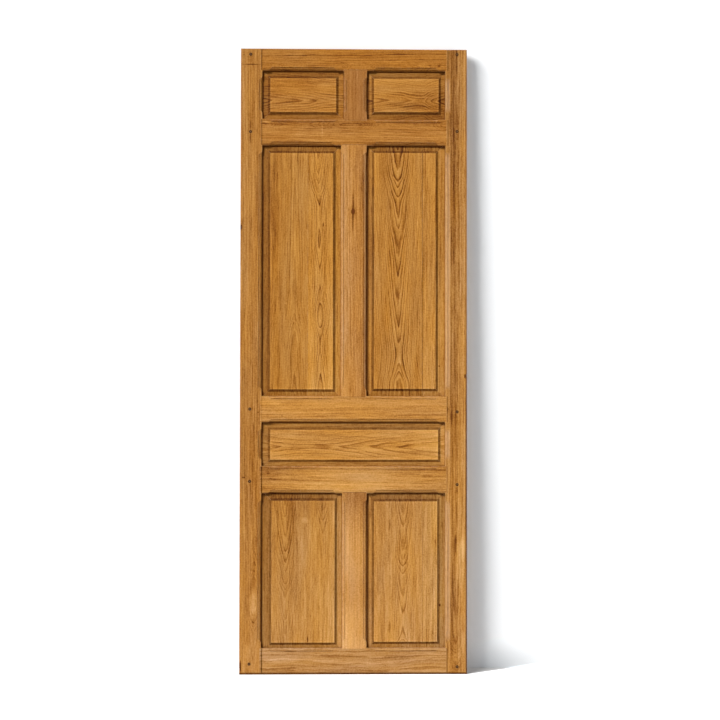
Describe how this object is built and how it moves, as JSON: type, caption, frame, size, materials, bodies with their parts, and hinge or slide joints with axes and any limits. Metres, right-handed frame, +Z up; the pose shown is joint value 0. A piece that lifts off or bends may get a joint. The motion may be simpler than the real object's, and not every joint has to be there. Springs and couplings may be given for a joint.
{
  "type": "interior door leaf",
  "caption": "Panelled pine door leaf: pinned mortise and tenon frame with stopped mouldings, holding raised and fielded panels; hangs in a doorway on hinges.",
  "frame": {"origin": "middle of the leaf's bottom edge", "axes": "+Z up the leaf, +X along its width to the right as seen from the front, +Y through its thickness from the front face to the back face"},
  "size_m": [0.762, 0.032, 2.1],
  "materials": {
    "stiles": "waxed old pine, satin",
    "rails": "waxed old pine, satin",
    "muntins": "waxed old pine, satin",
    "panels": "waxed old pine, satin",
    "pegs": "darkened end grain"
  },
  "bodies": {
    "root": {"left_stile": "stiles", "right_stile": "stiles", "top_rail": "rails", "frieze_rail": "rails", "upper_lock_rail": "rails", "lower_lock_rail": "rails", "bottom_rail": "rails", "top_muntin": "muntins", "middle_muntin": "muntins", "bottom_muntin": "muntins", "top_left_panel": "panels", "top_right_panel": "panels", "upper_left_panel_outer_board": "panels", "upper_left_panel_inner_board": "panels", "upper_right_panel_inner_board": "panels", "upper_right_panel_outer_board": "panels", "lock_panel": "panels", "lower_left_panel": "panels", "lower_right_panel_inner_board": "panels", "lower_right_panel_outer_board": "panels", "joint_pegs": "pegs"}
  },
  "joints": []
}
